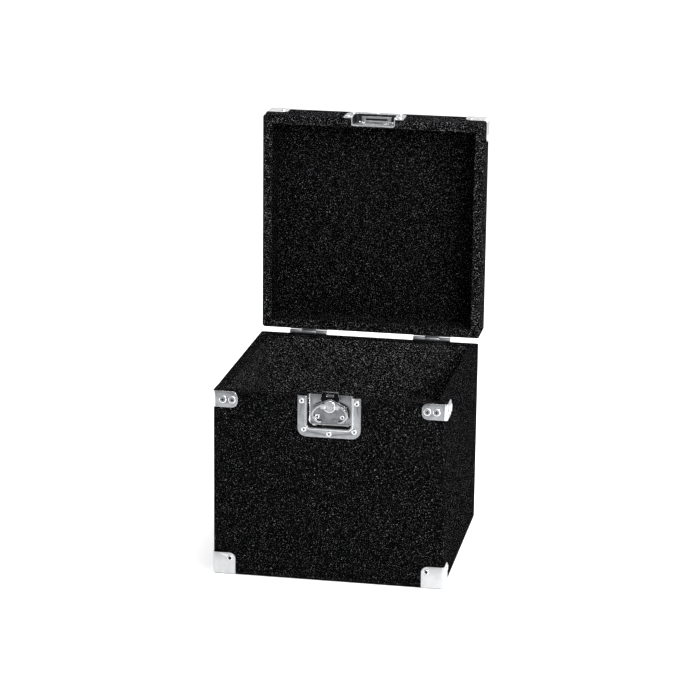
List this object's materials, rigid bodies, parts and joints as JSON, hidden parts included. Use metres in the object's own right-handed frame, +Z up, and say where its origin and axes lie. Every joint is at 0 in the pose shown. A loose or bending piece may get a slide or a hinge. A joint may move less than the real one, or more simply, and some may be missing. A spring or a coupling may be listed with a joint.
{
  "type": "record carrying case",
  "caption": "Carpeted plywood case for records with a hinged lid standing open, a recessed butterfly latch, metal corners, stop hinges and a folding handle on the lid.",
  "frame": {"origin": "middle of the underside, on the surface the case stands on", "axes": "+X to the right seen from the front, +Y to the back, +Z up; the latch faces -Y"},
  "size_m": [0.3584, 0.4337, 0.6452],
  "materials": {
    "plywood": "raw plywood, glued under the carpet",
    "carpet": "black needle felt with grey flecks",
    "lining": "thin black felt",
    "zinc_steel": "bright zinc plate",
    "dark_steel": "black",
    "chrome": "polished plate",
    "fastener_steel": "plated",
    "grip_rubber": "matte"
  },
  "bodies": {
    "box": {"box_bottom_board": "plywood", "box_front_board": "plywood", "box_back_board": "plywood", "box_left_board": "plywood", "box_right_board": "plywood", "box_carpet_cover": "carpet", "box_bottom_carpet": "carpet", "box_lining": "lining", "box_corner_left": "zinc_steel", "box_corner_right": "zinc_steel", "box_corner_screws": "fastener_steel", "rim_brace_left": "zinc_steel", "rim_brace_right": "zinc_steel", "brace_screws": "fastener_steel", "hinge_box_leaf_left": "zinc_steel", "hinge_box_leaf_right": "zinc_steel", "hinge_box_screws": "fastener_steel", "hinge_pin_left": "fastener_steel", "hinge_pin_right": "fastener_steel", "latch_dish": "zinc_steel", "latch_dish_rivets": "fastener_steel", "latch_bracket": "dark_steel", "latch_bracket_rivets": "fastener_steel"},
    "lid": {"lid_top_board": "plywood", "lid_front_board": "plywood", "lid_back_board": "plywood", "lid_left_board": "plywood", "lid_right_board": "plywood", "lid_carpet_cover": "carpet", "lid_lining": "lining", "lid_corner_left": "zinc_steel", "lid_corner_right": "zinc_steel", "lid_corner_screws": "fastener_steel", "hinge_lid_leaf_left": "zinc_steel", "hinge_lid_leaf_right": "zinc_steel", "hinge_lid_screws": "fastener_steel", "keeper_dish": "zinc_steel", "keeper_rivets": "fastener_steel", "keeper_strike": "zinc_steel", "strike_rivets": "fastener_steel", "handle_lug_left": "zinc_steel", "handle_lug_right": "zinc_steel", "handle_screws": "fastener_steel"},
    "spindle": {"latch_spindle": "chrome", "wing_pins": "fastener_steel"},
    "wing_left": {"latch_wing_left": "chrome"},
    "wing_right": {"latch_wing_right": "chrome"},
    "slider": {"latch_slider": "zinc_steel", "hook_pivot_pin": "fastener_steel"},
    "hook": {"latch_hook": "dark_steel"},
    "handle": {"handle_rod": "fastener_steel", "handle_grip": "grip_rubber"}
  },
  "joints": [
    {"name": "lid_hinge", "type": "hinge", "parent": "box", "child": "lid", "pos_m": [0, 0.1788, 0.2902], "axis": [1, 0, 0], "range_deg": [0, 90]},
    {"name": "latch_twist", "type": "hinge", "parent": "box", "child": "spindle", "pos_m": [0, -0.168, 0.274], "axis": [0, 1, 0], "range_deg": [0, 180]},
    {"name": "hook_slide", "type": "slide", "parent": "box", "child": "slider", "axis": [0, 0, 1], "range_m": [-0.0024, 0]},
    {"name": "hook_rock", "type": "hinge", "parent": "slider", "child": "hook", "pos_m": [0, -0.164, 0.2514], "axis": [1, 0, 0], "range_deg": [-2.2, 0]},
    {"name": "wing_left_fold", "type": "hinge", "parent": "spindle", "child": "wing_left", "pos_m": [-0.0068, -0.1706, 0.274], "axis": [0, 0, 1], "range_deg": [0, 90]},
    {"name": "wing_right_fold", "type": "hinge", "parent": "spindle", "child": "wing_right", "pos_m": [0.0068, -0.1706, 0.274], "axis": [0, 0, -1], "range_deg": [0, 90]},
    {"name": "handle_swing", "type": "hinge", "parent": "lid", "child": "handle", "pos_m": [0, 0.248, 0.469], "axis": [1, 0, 0], "range_deg": [0, 180]}
  ],
  "couplings": [
    {"joint": "hook_slide", "follows": "latch_twist", "m_per_rad": -0.0007639},
    {"joint": "hook_rock", "follows": "latch_twist", "ratio": -0.01222}
  ]
}
